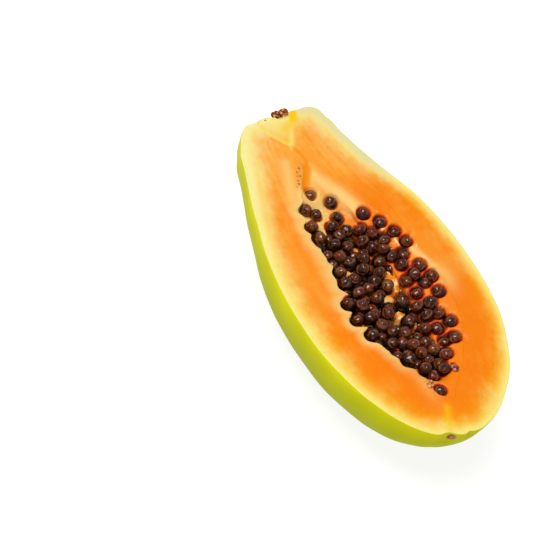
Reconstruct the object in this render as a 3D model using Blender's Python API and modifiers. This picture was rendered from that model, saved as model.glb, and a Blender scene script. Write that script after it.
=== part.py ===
"""Half a papaya, cut lengthwise, lying on its rind with the cut face up and the seeds in place.

Metres, +Z up. +X runs along the fruit from the stem end to the blossom end, and +Y across the cut.
The origin is the middle of the fruit's outline on the surface that it lies on.
"""

import math
import random

import bmesh
import bpy
from mathutils import Euler, Matrix, Vector

MM = 0.001

# The rind's outline: distance from the stem end and radius, in millimetres. It starts in the stem's dimple.
RIND_OUTLINE = [
    (3.2, 0.0),
    (3.0, 3.4),
    (1.9, 6.1),
    (0.6, 8.0),
    (0.2, 10.8),
    (1.3, 14.6),
    (4.0, 18.4),
    (8.0, 21.3),
    (14.0, 23.9),
    (22.0, 26.3),
    (31.0, 29.5),
    (43.0, 34.0),
    (58.0, 39.2),
    (76.0, 42.5),
    (95.0, 43.3),
    (112.0, 41.7),
    (128.0, 36.9),
    (141.0, 30.3),
    (150.0, 22.8),
    (156.0, 15.4),
    (159.3, 7.6),
    (160.0, 2.6),
    (159.3, 0.0),
]
LENGTH = 160 * MM
BELLY_RADIUS = 43.3 * MM
BELLY_FLAT = 1.2 * MM
RIND_POINTS_PER_SPAN = 2
RIND_STEPS = 26

# The fruit's axis sways a little in the plane of the cut: distance from the stem end and offset, in millimetres.
AXIS_SWAY = [(0, 3.4), (9, 0.2), (16, -0.8), (34, -0.7), (54, 0.5), (118, 0.7), (134, 0.0), (154, -1.4)]

# Five faint ribs run from end to end, and are strongest at the ends.
RIBS = 5
RIB_SHARE = 0.010
RIB_SHARE_AT_ENDS = 0.025
RIB_END_LENGTH = 22 * MM

# The seed cavity's outline: distance from the stem end and mean half width, in millimetres.
CAVITY_OUTLINE = [
    (24.0, 0.0),
    (27.0, 1.3),
    (31.0, 2.0),
    (34.0, 4.8),
    (37.5, 7.3),
    (43.0, 9.2),
    (50.0, 10.9),
    (57.0, 14.4),
    (64.0, 17.4),
    (73.0, 19.0),
    (84.0, 19.5),
    (95.0, 20.0),
    (108.0, 18.5),
    (118.0, 15.4),
    (127.0, 11.7),
    (134.5, 7.4),
    (140.5, 3.6),
    (144.0, 0.0),
]
CAVITY_POINTS_PER_SPAN = 2
CAVITY_STEPS = 22
CAVITY_DEPTH_SHARE = 0.75
# In section the cavity is a five-pointed star. The cut meets a point on the +Y side and a flat on the other.
STAR_SHARE = 0.26
STAR_GROWS = (38 * MM, 62 * MM)
STAR_FADES = (144 * MM, 124 * MM)
RIM_ROUNDING = 1.2 * MM
RIM_ROUNDING_DEPTH = 1.5 * MM
ROUNDED_FROM = 6 * MM
# The cutter's widest ring lies just under the cut, so that its upright walls cross the cut cleanly.
RIM_BELOW_CUT = 0.05 * MM
CUTTER_ABOVE_CUT = 12 * MM

# Lobes of pulp that show bare between the seeds: along, across, radius and height of the top, in millimetres.
PULP_LOBES = [
    (51.5, -1.5, 3.6, -3.6),
    (84.0, 3.0, 3.8, -3.4),
    (93.5, 7.5, 3.6, -3.2),
    (71.5, 13.0, 3.2, -2.6),
    (112.0, 4.5, 3.2, -3.4),
    (67.0, -3.0, 2.8, -3.8),
]

# The seeds fill the cavity up to a bed that slopes up from the -Y rim to the +Y rim and sags between.
SEED_HALF_LENGTH = 3.2 * MM
SEED_HALF_WIDTH = 2.65 * MM
SEED_SIZE_SPREAD = 0.08
SEED_SEGMENTS = 6
SEED_RINGS = 4
SEED_SPACING = 4.6 * MM
SEED_FROM_WALL = 2.0 * MM
SEED_TRIES = 9000
SEED_MOST = 150
SEED_RNG = 43
BED_AT_NEAR_RIM = -3.0 * MM
BED_AT_FAR_RIM = -1.1 * MM
BED_SAG = 2.2 * MM
BED_SAGS_FULLY_AT = 20 * MM
BED_RISE = 0.8 * MM
BED_DIP = 2.6 * MM
BED_SPAN = (33 * MM, 143 * MM)
# Under the seeds lies a core that holds the heap together.
CORE_BELOW_BED = 0.6 * MM
CORE_INSET = 0.3 * MM
CORE_GRID = 9
FIT_GAP = 0.45 * MM
# Seeds that lie apart from the heap: distance along and across, in millimetres.
STRAY_SEEDS = [(39.0, -3.4), (46.2, -0.4), (50.5, 9.4), (56.0, 14.0), (61.5, 18.2), (67.5, 21.6), (138.5, -1.6)]

# The dried stem: a crater of woody tissue in the dimple, as distance from the stem end and radius.
STUB_OUTLINE = [
    (1.5, 0.0),
    (1.0, 1.0),
    (-0.7, 1.8),
    (-1.1, 3.2),
    (-0.6, 4.7),
    (0.7, 5.3),
    (1.9, 4.2),
    (2.6, 2.4),
    (2.8, 0.0),
]
STUB_ACROSS = 4.2 * MM
STUB_POINTS_PER_SPAN = 2
STUB_STEPS = 14
STUB_LOBES = 0.06
STUB_RAGGED = 0.4 * MM
STUB_RAGGED_ABOVE = 0.4 * MM
STUB_RNG = 7
SHARP_ANGLE = 50
# Points this close are one point, and edges under the second length are no edges.
MERGE_WITHIN = 0.01 * MM
DEGENERATE_UNDER = 0.0005 * MM

FLESH_SLOT = 1
LINING_SLOT = 2
# Finishes: name, colour and roughness.
RIND_FINISH = ("green_rind", (0.40, 0.50, 0.022, 1), 0.42)
FLESH_FINISH = ("orange_flesh", (1.0, 0.29, 0.01, 1), 0.35)
LINING_FINISH = ("cavity_lining", (1.0, 0.37, 0.03, 1), 0.3)
SEED_FINISH = ("seed_brown", (0.026, 0.010, 0.007, 1), 0.16)
STUB_FINISH = ("woody_stub", (0.23, 0.10, 0.03, 1), 0.8)


def clear_scene():
    for obj in list(bpy.data.objects):
        bpy.data.objects.remove(obj)


def new_collection(name):
    collection = bpy.data.collections.new(name)
    bpy.context.scene.collection.children.link(collection)
    return collection


def new_material(name, colour, roughness):
    material = bpy.data.materials.new(name)
    material.use_nodes = True
    shader = material.node_tree.nodes["Principled BSDF"]
    shader.inputs["Base Color"].default_value = colour
    shader.inputs["Roughness"].default_value = roughness
    shader.inputs["Metallic"].default_value = 0.0
    material.diffuse_color = colour
    return material


def new_object(name, mesh, collection):
    obj = bpy.data.objects.new(name, mesh)
    collection.objects.link(obj)
    return obj


def apply_modifiers(obj):
    """Puts the evaluated mesh in the object and takes its modifiers off."""
    graph = bpy.context.evaluated_depsgraph_get()
    mesh = bpy.data.meshes.new_from_object(obj.evaluated_get(graph))
    obj.modifiers.clear()
    obj.data = mesh


def smooth_outline(stations, per_span):
    """Points, in metres, on a smooth curve through the stations that meets the axis square at both ends."""
    points = [Vector((x * MM, radius * MM)) for x, radius in stations]
    tangents = [(after - before) / 2 for before, after in zip(points[:-2], points[2:])]
    first = Vector((0, (points[1] - points[0]).length))
    last = Vector((0, -(points[-1] - points[-2]).length))
    tangents = [first, *tangents, last]
    outline = []
    for i in range(len(points) - 1):
        for step in range(per_span):
            t = step / per_span
            outline.append(
                points[i] * (2 * t**3 - 3 * t**2 + 1)
                + tangents[i] * (t**3 - 2 * t**2 + t)
                + points[i + 1] * (3 * t**2 - 2 * t**3)
                + tangents[i + 1] * (t**3 - t**2)
            )
    return outline + [points[-1]]


def smooth_step(x, span):
    """Rises smoothly from 0 at the span's first value to 1 at its second."""
    t = min(1.0, max(0.0, (x - span[0]) / (span[1] - span[0])))
    return t * t * (3 - 2 * t)


def sway(x):
    """How far the fruit's axis lies to the +Y side at x."""
    offset = AXIS_SWAY[0][1] * MM
    for (x0, value0), (x1, value1) in zip(AXIS_SWAY[:-1], AXIS_SWAY[1:]):
        offset += (value1 - value0) * MM * smooth_step(x, (x0 * MM, x1 * MM))
    return offset


def half_turn(name, stations, per_span, steps, collection):
    """The lower half of a turned body, open at the cut."""
    mesh = bpy.data.meshes.new(name)
    outline = smooth_outline(stations, per_span)
    edges = [(i, i + 1) for i in range(len(outline) - 1)]
    mesh.from_pydata([(p.x, p.y, 0) for p in outline], edges, [])
    obj = new_object(name, mesh, collection)
    screw = obj.modifiers.new("turn", "SCREW")
    screw.axis = "X"
    screw.angle = -math.pi
    screw.steps = screw.render_steps = steps
    screw.use_merge_vertices = True
    screw.merge_threshold = MERGE_WITHIN
    apply_modifiers(obj)
    for vertex in obj.data.vertices:
        if abs(vertex.co.z) < MERGE_WITHIN:
            vertex.co.z = 0.0
    return obj


def edit(obj, change):
    """Runs change on the object's mesh in a bmesh, then makes it triangles that face outwards."""
    bm = bmesh.new()
    bm.from_mesh(obj.data)
    change(bm)
    bmesh.ops.dissolve_degenerate(bm, edges=bm.edges, dist=DEGENERATE_UNDER)
    bmesh.ops.triangulate(bm, faces=bm.faces)
    bmesh.ops.recalc_face_normals(bm, faces=bm.faces)
    bm.to_mesh(obj.data)
    bm.free()


def open_edges(bm):
    return [edge for edge in bm.edges if edge.is_boundary]


def keep_largest_body(bm):
    """Deletes the scraps that a Boolean can leave beside the body itself."""
    bodies = []
    left = set(bm.verts)
    while left:
        body = {left.pop()}
        newest = list(body)
        while newest:
            vertex = newest.pop()
            reached = {edge.other_vert(vertex) for edge in vertex.link_edges} - body
            body |= reached
            newest.extend(reached)
        left -= body
        bodies.append(body)
    largest = max(bodies, key=len)
    scraps = [vertex for vertex in bm.verts if vertex not in largest]
    bmesh.ops.delete(bm, geom=scraps, context="VERTS")


def combine(obj, other, operation):
    """Applies a Boolean with one other object."""
    boolean = obj.modifiers.new(operation.lower(), "BOOLEAN")
    boolean.operation = operation
    boolean.object = other
    boolean.solver = "EXACT"
    apply_modifiers(obj)


def hide_helper(obj):
    obj.hide_render = True
    obj.display_type = "WIRE"


def smooth(obj):
    obj.data.shade_smooth()
    obj.data.set_sharp_from_angle(angle=math.radians(SHARP_ANGLE))


def rib_factor(x, angle):
    from_end = min(x, LENGTH - x)
    near_end = math.exp(-((from_end / RIB_END_LENGTH) ** 2))
    share = RIB_SHARE + (RIB_SHARE_AT_ENDS - RIB_SHARE) * near_end
    return 1 + share * (math.cos(RIBS * angle) - 1)


def star_factor(x, angle):
    share = STAR_SHARE * smooth_step(x, STAR_GROWS) * smooth_step(x, STAR_FADES)
    return 1 + share * math.cos(RIBS * angle)


def raised_floor(x, y, z):
    """Height of the cavity's floor, lifted where a lobe of pulp stands up from it."""
    for along, across, radius, top in PULP_LOBES:
        away = math.hypot(x - along * MM, y - across * MM) / (radius * MM)
        lift = max(0.0, top * MM - z)
        z += lift * math.exp(-(away**3))
    return z


def cavity_solid(name, inset, collection):
    """The space of the seed cavity, drawn in by inset all over, with straight sides above the cut."""
    obj = half_turn(name, CAVITY_OUTLINE, CAVITY_POINTS_PER_SPAN, CAVITY_STEPS, collection)

    def shape(bm):
        for vertex in bm.verts:
            x, y, z = vertex.co
            mean = math.hypot(y, z)
            angle = math.atan2(z, y)
            rounding = RIM_ROUNDING * math.exp(-((z / RIM_ROUNDING_DEPTH) ** 2)) * min(1.0, mean / ROUNDED_FROM)
            radius = mean * star_factor(x, angle) + rounding
            y = radius * math.cos(angle) + sway(x)
            z = radius * math.sin(angle) * CAVITY_DEPTH_SHARE
            vertex.co = (x, y, raised_floor(x, y, z) - RIM_BELOW_CUT)
        walls = bmesh.ops.extrude_edge_only(bm, edges=open_edges(bm))["geom"]
        top = [v for v in walls if isinstance(v, bmesh.types.BMVert)]
        bmesh.ops.translate(bm, verts=top, vec=(0, 0, CUTTER_ABOVE_CUT))
        bmesh.ops.contextual_create(bm, geom=open_edges(bm))
        bmesh.ops.recalc_face_normals(bm, faces=bm.faces)
        bm.normal_update()
        for vertex in bm.verts:
            vertex.co -= vertex.normal * inset

    edit(obj, shape)
    return obj


def cavity_mean(x):
    """The cavity's mean half width at x, by straight lines between its stations."""
    for (x0, mean0), (x1, mean1) in zip(CAVITY_OUTLINE[:-1], CAVITY_OUTLINE[1:]):
        if x0 * MM <= x <= x1 * MM:
            return (mean0 + (mean1 - mean0) * (x / MM - x0) / (x1 - x0)) * MM
    return 0.0


def rim_reach(x, side):
    """How far the cavity's rim is from the fruit's axis at x, on the +Y side or the -Y side."""
    mean = cavity_mean(x)
    return mean * star_factor(x, 0 if side > 0 else math.pi) + RIM_ROUNDING * min(1.0, mean / ROUNDED_FROM)


def bed_height(x, y):
    """Height of the seeds' bed at this place, measured from the cut."""
    near, far = rim_reach(x, -1), rim_reach(x, 1)
    half = (near + far) / 2
    across = min(1.0, max(-1.0, (y - sway(x) - (far - near) / 2) / max(half, MM)))
    slope = BED_AT_NEAR_RIM + (BED_AT_FAR_RIM - BED_AT_NEAR_RIM) * (1 + across) / 2
    return slope - BED_SAG * (1 - across**2) * min(1.0, half / BED_SAGS_FULLY_AT)


def seed_places():
    """Places of the seeds' middles: the stray ones first, then darts that keep their distance."""
    rng = random.Random(SEED_RNG)
    places = [Vector((x * MM, y * MM, bed_height(x * MM, y * MM))) for x, y in STRAY_SEEDS]
    for _ in range(SEED_TRIES):
        x = rng.uniform(*BED_SPAN)
        near, far = rim_reach(x, -1), rim_reach(x, 1)
        across = rng.uniform(-near, far)
        y = across + sway(x)
        rise = rng.uniform(-BED_DIP, BED_RISE)
        inside = min(far - across, near + across) > SEED_FROM_WALL
        bare = any(math.hypot(x - a * MM, y - b * MM) < r * MM for a, b, r, _ in PULP_LOBES)
        place = Vector((x, y, bed_height(x, y) + rise))
        crowded = any((place - other).length < SEED_SPACING for other in places)
        if inside and not bare and not crowded:
            places.append(place)
        if len(places) == SEED_MOST:
            break
    return places


def make_papaya_half(parts, cutters):
    """Rind and flesh, grown as one piece: a turned half with ribs, its cavity and the spot it lies on."""
    fruit = half_turn("papaya_half", RIND_OUTLINE, RIND_POINTS_PER_SPAN, RIND_STEPS, parts)
    cutter = cavity_solid("cavity_cutter", 0.0, cutters)
    for finish in (RIND_FINISH, FLESH_FINISH, LINING_FINISH):
        material = new_material(*finish)
        fruit.data.materials.append(material)
        cutter.data.materials.append(material)

    def shape(bm):
        for vertex in bm.verts:
            x, y, z = vertex.co
            factor = rib_factor(x, math.atan2(z, y))
            vertex.co = (x, y * factor + sway(x), z * factor)
        for face in bmesh.ops.contextual_create(bm, geom=open_edges(bm))["faces"]:
            face.material_index = FLESH_SLOT
        whole = bm.verts[:] + bm.edges[:] + bm.faces[:]
        floor = Vector((0, 0, -(BELLY_RADIUS - BELLY_FLAT)))
        bmesh.ops.bisect_plane(bm, geom=whole, plane_co=floor, plane_no=(0, 0, -1), clear_outer=True)
        bmesh.ops.contextual_create(bm, geom=open_edges(bm))

    edit(fruit, shape)
    for face in cutter.data.polygons:
        face.material_index = LINING_SLOT
    combine(fruit, cutter, "DIFFERENCE")
    hide_helper(cutter)
    smooth(fruit)
    return fruit


def make_seed(name, place, turn, size, collection):
    """One seed as an egg-shaped ball with few sides."""
    mesh = bpy.data.meshes.new(name)
    bm = bmesh.new()
    bmesh.ops.create_uvsphere(bm, u_segments=SEED_SEGMENTS, v_segments=SEED_RINGS, radius=1.0)
    scale = Matrix.Diagonal((SEED_HALF_WIDTH * size, SEED_HALF_WIDTH * size, SEED_HALF_LENGTH * size, 1))
    bmesh.ops.transform(bm, matrix=Matrix.Translation(place) @ turn.to_matrix().to_4x4() @ scale, verts=bm.verts)
    bm.to_mesh(mesh)
    bm.free()
    return new_object(name, mesh, collection)


def make_seed_bed(cutters):
    """A block with the bed's top, lowered, which the core is cut from."""
    mesh = bpy.data.meshes.new("seed_bed")
    bm = bmesh.new()
    bmesh.ops.create_grid(bm, x_segments=2 * CORE_GRID, y_segments=CORE_GRID, size=0.5)
    width = 2 * BELLY_RADIUS
    for vertex in bm.verts:
        x = BED_SPAN[0] + (vertex.co.x + 0.5) * (BED_SPAN[1] - BED_SPAN[0])
        y = vertex.co.y * width
        vertex.co = (x, y, bed_height(x, y) - CORE_BELOW_BED)
    down = bmesh.ops.extrude_face_region(bm, geom=bm.faces[:])["geom"]
    for vertex in [v for v in down if isinstance(v, bmesh.types.BMVert)]:
        vertex.co.z = -BELLY_RADIUS
    bm.to_mesh(mesh)
    bm.free()
    bed = new_object("seed_bed", mesh, cutters)
    edit(bed, lambda bm: None)
    return bed


def make_seeds(parts, cutters):
    """The heap of seeds: a core on the cavity's floor and the seeds that stand out of it, fused."""
    heap = cavity_solid("seeds", FIT_GAP + CORE_INSET, parts)
    room = cavity_solid("seed_room", FIT_GAP, cutters)
    bed = make_seed_bed(cutters)
    combine(heap, bed, "INTERSECT")
    repeats = new_collection("seed_repeats")
    rng = random.Random(SEED_RNG + 1)
    for i, place in enumerate(seed_places()):
        turn = Euler([rng.uniform(0, math.pi) for _ in range(3)])
        size = 1 + rng.uniform(-1, 1) * SEED_SIZE_SPREAD
        make_seed(f"seed_{i:03d}", place, turn, size, repeats)
    union = heap.modifiers.new("fuse", "BOOLEAN")
    union.operation = "UNION"
    union.operand_type = "COLLECTION"
    union.collection = repeats
    union.solver = "EXACT"
    apply_modifiers(heap)
    for obj in list(repeats.objects):
        bpy.data.objects.remove(obj)
    bpy.data.collections.remove(repeats)
    combine(heap, room, "INTERSECT")
    edit(heap, keep_largest_body)
    hide_helper(room)
    hide_helper(bed)
    heap.data.materials.clear()
    heap.data.materials.append(new_material(*SEED_FINISH))
    smooth(heap)
    return heap


def make_stem_stub(parts):
    """The dried stem, halved by the same cut."""
    stub = half_turn("stem_stub", STUB_OUTLINE, STUB_POINTS_PER_SPAN, STUB_STEPS, parts)
    rng = random.Random(STUB_RNG)

    def shape(bm):
        for vertex in bm.verts:
            x, y, z = vertex.co
            lobes = 1 + STUB_LOBES * (math.cos(RIBS * math.atan2(z, y)) - 1)
            ragged = rng.uniform(-1, 1) * STUB_RAGGED if x < STUB_RAGGED_ABOVE else 0.0
            vertex.co = (x + ragged, y * lobes + STUB_ACROSS, z * lobes)
        bmesh.ops.contextual_create(bm, geom=open_edges(bm))

    edit(stub, shape)
    stub.data.materials.append(new_material(*STUB_FINISH))
    return stub


def main():
    clear_scene()
    parts = new_collection("papaya")
    cutters = new_collection("cutters")
    pieces = [make_papaya_half(parts, cutters), make_seeds(parts, cutters), make_stem_stub(parts)]
    bpy.context.view_layer.update()
    corners = [Vector(corner) for piece in pieces for corner in piece.bound_box]
    middle_x = (min(c.x for c in corners) + max(c.x for c in corners)) / 2
    middle_y = (min(c.y for c in corners) + max(c.y for c in corners)) / 2
    for piece in pieces + list(cutters.objects):
        piece.location = (-middle_x, -middle_y, BELLY_RADIUS - BELLY_FLAT)


main()
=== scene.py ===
# %% [markdown]
# # Half a papaya, dressed
#
# The CAD gives three solids: the halved fruit, its heap of seeds and the dried stem.
# This lesson builds the fine version of each one over its solid, in the same place and size,
# and then gives it a finish: green rind, orange flesh, wet black seeds and dry wood.
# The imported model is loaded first, because every piece has to sit where its solid sits.

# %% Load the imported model
import math
import random
from functools import partial

import bpy
import numpy as np
from mathutils import Matrix, Vector, kdtree, noise


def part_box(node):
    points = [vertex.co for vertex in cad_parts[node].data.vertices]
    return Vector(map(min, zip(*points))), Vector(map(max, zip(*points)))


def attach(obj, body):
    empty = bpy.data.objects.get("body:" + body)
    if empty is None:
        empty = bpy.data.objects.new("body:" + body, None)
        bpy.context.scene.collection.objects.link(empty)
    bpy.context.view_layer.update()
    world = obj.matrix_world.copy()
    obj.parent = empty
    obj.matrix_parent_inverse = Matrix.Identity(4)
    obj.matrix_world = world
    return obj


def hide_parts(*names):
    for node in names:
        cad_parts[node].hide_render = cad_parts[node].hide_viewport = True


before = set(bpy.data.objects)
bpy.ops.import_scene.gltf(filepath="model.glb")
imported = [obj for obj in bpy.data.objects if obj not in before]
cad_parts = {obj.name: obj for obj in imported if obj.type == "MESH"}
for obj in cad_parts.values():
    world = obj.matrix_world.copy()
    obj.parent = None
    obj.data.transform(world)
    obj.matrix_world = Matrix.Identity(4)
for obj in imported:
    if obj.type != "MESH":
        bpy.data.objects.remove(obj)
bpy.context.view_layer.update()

MM = 0.001
print("nodes:", sorted(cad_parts))

# %% [markdown]
# ## Where things are on the fruit
#
# A papaya is easiest to think of along its own axis. "Along" is the distance from the stem end,
# "across" is measured from the axis in the plane of the cut, and "up" from the cut itself.
# All of these are in millimetres, and one helper turns them into metres in the model's frame,
# whose origin is the middle of the fruit, on the surface that it lies on.

# %% From the fruit's own measures to the model's frame
STEM_END = Vector((-79.28, -1.075, 42.1)) * MM


def to_frame(points):
    """Millimetres along, across and up become metres in the model's frame."""
    return np.asarray(points, float) * MM + np.array(STEM_END)


low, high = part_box("papaya_half")
print("the cut lies at", round(high.z / MM, 2), "mm; the fruit is", round((high.x - low.x) / MM, 1), "mm long")

# %% [markdown]
# ## The camera
#
# The fruit is seen from above its near side, from far enough that its shape hardly narrows with
# distance. The picture's sides were found from the outline of the cut: they are given here as the
# directions that point right and up in the picture, and towards the camera.

# %% Place the camera
VIEW_RIGHT = Vector((0.4929, 0.8097, 0.3186))
VIEW_UP = Vector((-0.7801, 0.2491, 0.5739))
TO_CAMERA = Vector((0.3853, -0.5314, 0.7544))
PICTURE = 555
FOCAL = 3257.4  # in pixels of the picture
CAMERA_DISTANCE = 1.28
FRUIT_MIDDLE_IN_PICTURE = (370.6, 268.4)

middle = STEM_END + Vector((80, 0, 0)) * MM
from_centre = (PICTURE / 2 - FRUIT_MIDDLE_IN_PICTURE[0], FRUIT_MIDDLE_IN_PICTURE[1] - PICTURE / 2)
axis = VIEW_RIGHT * from_centre[0] + VIEW_UP * from_centre[1] - TO_CAMERA * FOCAL
back = -axis.normalized()
right = (VIEW_RIGHT - back * VIEW_RIGHT.dot(back)).normalized()
up = back.cross(right)
camera_data = bpy.data.cameras.new("camera")
camera_data.sensor_width = 36
camera_data.lens = camera_data.sensor_width * FOCAL / PICTURE
camera_data.clip_start = 0.05
camera = bpy.data.objects.new("camera", camera_data)
bpy.context.scene.collection.objects.link(camera)
turn = Matrix((right, up, back)).transposed().to_4x4()
camera.matrix_world = Matrix.Translation(middle + TO_CAMERA * CAMERA_DISTANCE) @ turn
bpy.context.scene.camera = camera
bpy.context.scene.view_settings.view_transform = "Standard"
print("lens", round(camera_data.lens), "mm")

# %% [markdown]
# ## Helpers for shapes
#
# Each piece starts as one of Blender's primitives. A few lines then read its points into a table,
# move them by a formula and write them back, which is sculpting by numbers.

# %% Add a ball, and read and write a mesh's points
def deselect():
    bpy.ops.object.select_all(action="DESELECT")


def set_mode(name):
    bpy.ops.object.mode_set(mode=name)


def add_ball(name, segments, rings, tipped=False):
    """A ball of radius 1 with its poles above and below, or tipped on to the fruit's axis."""
    deselect()
    rotation = (0, math.pi / 2 if tipped else 0, 0)
    bpy.ops.mesh.primitive_uv_sphere_add(segments=segments, ring_count=rings, radius=1, rotation=rotation)
    bpy.ops.object.transform_apply(location=False, rotation=True, scale=True)
    ball = bpy.context.object
    ball.name = ball.data.name = name
    return ball


def share_of_the_way(points, rings):
    """How far each point of a tipped ball is from one pole to the other; the rings lie at even shares."""
    return np.round(np.arccos(np.clip(-points[:, 0], -1, 1)) / math.pi * rings) / rings


def get_points(obj):
    table = np.empty(len(obj.data.vertices) * 3)
    obj.data.vertices.foreach_get("co", table)
    return table.reshape(-1, 3)


def set_points(obj, points):
    obj.data.vertices.foreach_set("co", np.asarray(points, float).reshape(-1))
    obj.data.update()


def write_value(obj, name, values):
    """Keeps one number, or three, per point in the mesh, where a material can read it by name."""
    values = np.asarray(values, np.float32)
    kind, field = ("FLOAT", "value") if values.ndim == 1 else ("FLOAT_VECTOR", "vector")
    obj.data.attributes.new(name, kind, "POINT").data.foreach_set(field, values.reshape(-1))


def lumps(points, size, seed, detail=2):
    """Soft noise between about -1 and 1 at each point; size is the width of a lump, in the points' unit."""
    offset = Vector((seed * 17.3, seed * 5.1, seed * 11.7))
    return np.array([noise.fractal(Vector(p) / size + offset, 1.0, 2.0, detail) for p in points])


# %% [markdown]
# ## The outlines
#
# The rind and the seed cavity are both bodies of revolution at heart. Each outline is a row of
# stations: distance from the stem end, and radius there. They are the same stations that the CAD
# solid was turned from, joined here by more points, so that the fine shell lies on the solid.

# %% The outlines' stations and the smooth line through them
RIND_STATIONS = [
    (3.2, 0.0), (3.0, 3.4), (1.9, 6.1), (0.6, 8.0), (0.2, 10.8), (1.3, 14.6), (4.0, 18.4), (8.0, 21.3),
    (14.0, 23.9), (22.0, 26.3), (31.0, 29.5), (43.0, 34.0), (58.0, 39.2), (76.0, 42.5), (95.0, 43.3),
    (112.0, 41.7), (128.0, 36.9), (141.0, 30.3), (150.0, 22.8), (156.0, 15.4), (159.3, 7.6), (160.0, 2.6),
    (159.3, 0.0),
]
CAVITY_STATIONS = [
    (24.0, 0.0), (27.0, 1.3), (31.0, 2.0), (34.0, 4.8), (37.5, 7.3), (43.0, 9.2), (50.0, 10.9), (57.0, 14.4),
    (64.0, 17.4), (73.0, 19.0), (84.0, 19.5), (95.0, 20.0), (108.0, 18.5), (118.0, 15.4), (127.0, 11.7),
    (134.5, 7.4), (140.5, 3.6), (144.0, 0.0),
]
AXIS_SWAY = [(0, 3.4), (9, 0.2), (16, -0.8), (34, -0.7), (54, 0.5), (118, 0.7), (134, 0.0), (154, -1.4)]
POINTS_PER_SPAN = 16


def smooth_line(stations):
    """A smooth line through the stations that meets the axis square at both ends."""
    points = np.array(stations, float)
    slopes = (points[2:] - points[:-2]) / 2
    first = [0, np.linalg.norm(points[1] - points[0])]
    last = [0, -np.linalg.norm(points[-1] - points[-2])]
    slopes = np.vstack([first, slopes, last])
    t = np.linspace(0, 1, POINTS_PER_SPAN, endpoint=False)[:, None]
    spans = [
        points[i] * (2 * t**3 - 3 * t**2 + 1)
        + slopes[i] * (t**3 - 2 * t**2 + t)
        + points[i + 1] * (3 * t**2 - 2 * t**3)
        + slopes[i + 1] * (t**3 - t**2)
        for i in range(len(points) - 1)
    ]
    return np.vstack(spans + [points[-1:]])


def at_share(line, share):
    """The point at each share, from 0 to 1, of the line's length."""
    steps = np.linalg.norm(np.diff(line, axis=0), axis=1)
    reached = np.concatenate([[0], np.cumsum(steps)]) / steps.sum()
    return np.interp(share, reached, line[:, 0]), np.interp(share, reached, line[:, 1])


def smooth_step(x, start, end):
    t = np.clip((x - start) / (end - start), 0, 1)
    return t * t * (3 - 2 * t)


def sway(along):
    """How far the fruit's axis lies to the far side."""
    offset = np.full(np.shape(along), float(AXIS_SWAY[0][1]))
    for (x0, value0), (x1, value1) in zip(AXIS_SWAY[:-1], AXIS_SWAY[1:]):
        offset += (value1 - value0) * smooth_step(along, x0, x1)
    return offset


RIND_LINE = smooth_line(RIND_STATIONS)
CAVITY_LINE = smooth_line(CAVITY_STATIONS)
print("the rind's outline is", round(float(np.linalg.norm(np.diff(RIND_LINE, axis=0), axis=1).sum())), "mm long")

# %% [markdown]
# ## Half shells
#
# A ball with its poles on the fruit's axis is already a turned body: its rings lie at even steps
# along the outline, and its segments go round the axis. Half of it is deleted, and each ring is
# then sent to its place on the outline. That keeps a clean net of four-sided faces and closed poles.

# %% A half ball whose points know their share along the outline and their angle
RINGS = 320


def half_ball(name, steps):
    obj = add_ball(name, 2 * steps, RINGS, tipped=True)
    set_mode("EDIT")
    bpy.ops.mesh.select_all(action="DESELECT")
    set_mode("OBJECT")
    for face in obj.data.polygons:
        face.select = face.center.z > 0
    set_mode("EDIT")
    bpy.ops.mesh.select_mode(type="FACE")
    bpy.ops.mesh.delete(type="FACE")
    set_mode("OBJECT")
    points = get_points(obj)
    on_the_cut = np.where(points[:, 1] > 0, 0, -math.pi)
    angle = np.where(np.abs(points[:, 2]) < 1e-5, on_the_cut, np.arctan2(points[:, 2], points[:, 1]))
    return obj, share_of_the_way(points, RINGS), angle


# %% [markdown]
# ## The rind
#
# Five faint ribs run from end to end, and the fruit lies on a small flat. A real rind isn't turned
# on a lathe, so a little of its roundness is taken off in broad, shallow hollows. At the blossom
# end there is a scar where the flower was, with a furrow that runs down from it.

# %% Shape the rind
RIB_SHARE, RIB_SHARE_AT_ENDS, RIB_END_LENGTH = 0.010, 0.025, 22
LYING_ON = -42.1
WITHIN_THE_SOLID, TIP_LIMIT = 0.9982, 159.95  # a hair smaller than the solid
BLOSSOM_SCAR = np.array([157.7, -8.2, -2.5])
SCAR_SHAPE = np.array([1.2, 1.25, 1.0])
DENTS = [  # which end, across, how far it moves along, half width and how far down it reaches
    (0, -15.0, -1.2, 4.0, 8), (0, -9.6, 1.4, 3.6, 8), (0, -5.6, 0.6, 1.8, 8), (0, -1.5, -0.8, 1.8, 6),
    (0, 3.2, -1.4, 3.2, 6), (0, 8.2, -1.2, 2.0, 6), (0, 12.4, 0.8, 3.0, 8), (0, 16.5, 0.6, 3.0, 8),
    (160, -9.8, -1.8, 3.4, 5),
]


def distance_from_scar(points):
    return np.linalg.norm((points - BLOSSOM_SCAR) / SCAR_SHAPE, axis=1)


def mark_the_ends(points, along):
    """Dents both ends along the axis, raises a ring round the scar and draws the furrow below it."""
    for end, place, move, half_width, down in DENTS:
        at_end = 1 - smooth_step(np.abs(along - end), 4, 9)
        off = ((points[:, 1] - place) / half_width) ** 2 + (points[:, 2] / down) ** 2
        points[:, 0] += at_end * move * np.exp(-off)
    # A low ring lies 1.9 mm from the scar's middle, with a pit inside it.
    off = distance_from_scar(points)
    points[:, 0] += 0.28 * np.exp(-(((off - 1.9) / 0.6) ** 2)) - 0.75 * np.exp(-((off / 1.3) ** 2))
    points[:, 0] = np.minimum(points[:, 0], TIP_LIMIT)
    down = -points[:, 2]
    furrow = 0.5 * np.exp(-(((points[:, 1] - BLOSSOM_SCAR[1] + 0.225 * down) / 1.1) ** 2))
    furrow *= smooth_step(down, 1.5, 5) * (1 - smooth_step(down, 12, 20)) * smooth_step(points[:, 0], 140, 154)
    points[:, 0] -= furrow


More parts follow.
